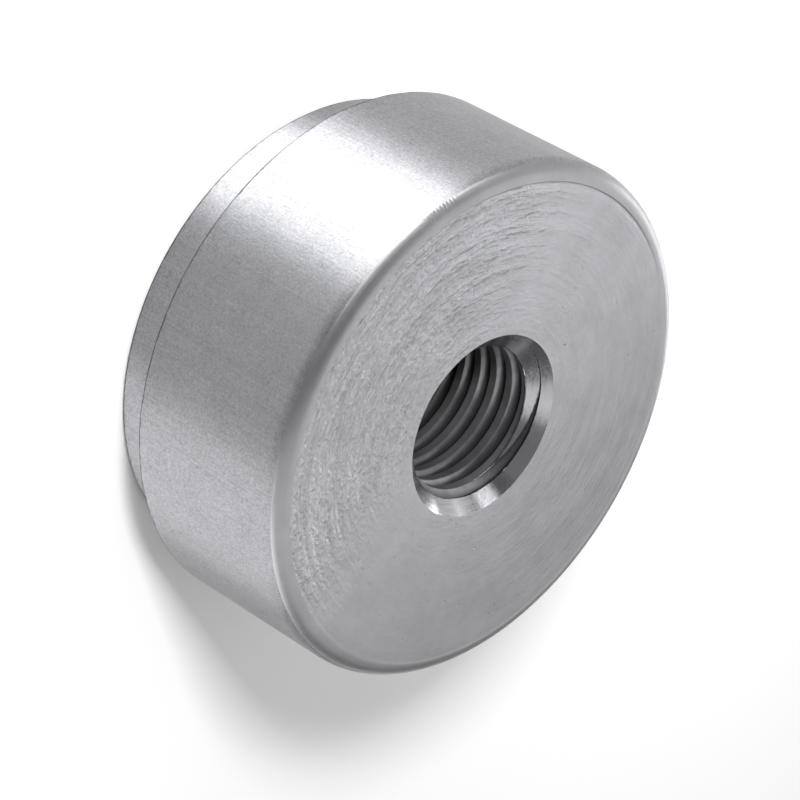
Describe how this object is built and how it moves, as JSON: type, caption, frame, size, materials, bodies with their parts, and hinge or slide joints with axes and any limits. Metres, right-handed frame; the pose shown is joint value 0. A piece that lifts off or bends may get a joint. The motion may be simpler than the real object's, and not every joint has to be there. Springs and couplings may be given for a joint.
{
  "type": "weld bung",
  "caption": "Round steel weld bung: a short turned body with a rounded rim, a stepped spigot that slips inside a tube end, and a tapped hole along its axis.",
  "frame": {"origin": "centre of the spigot's end face, which the bung stands on", "axes": "+Z along the turning axis, from the spigot end to the face with the countersunk, tapped mouth"},
  "size_m": [0.05, 0.05, 0.0232],
  "materials": {
    "steel": "bare steel as turned, satin, with fine tool marks"
  },
  "bodies": {
    "root": {"weld_bung": "steel"}
  },
  "joints": []
}
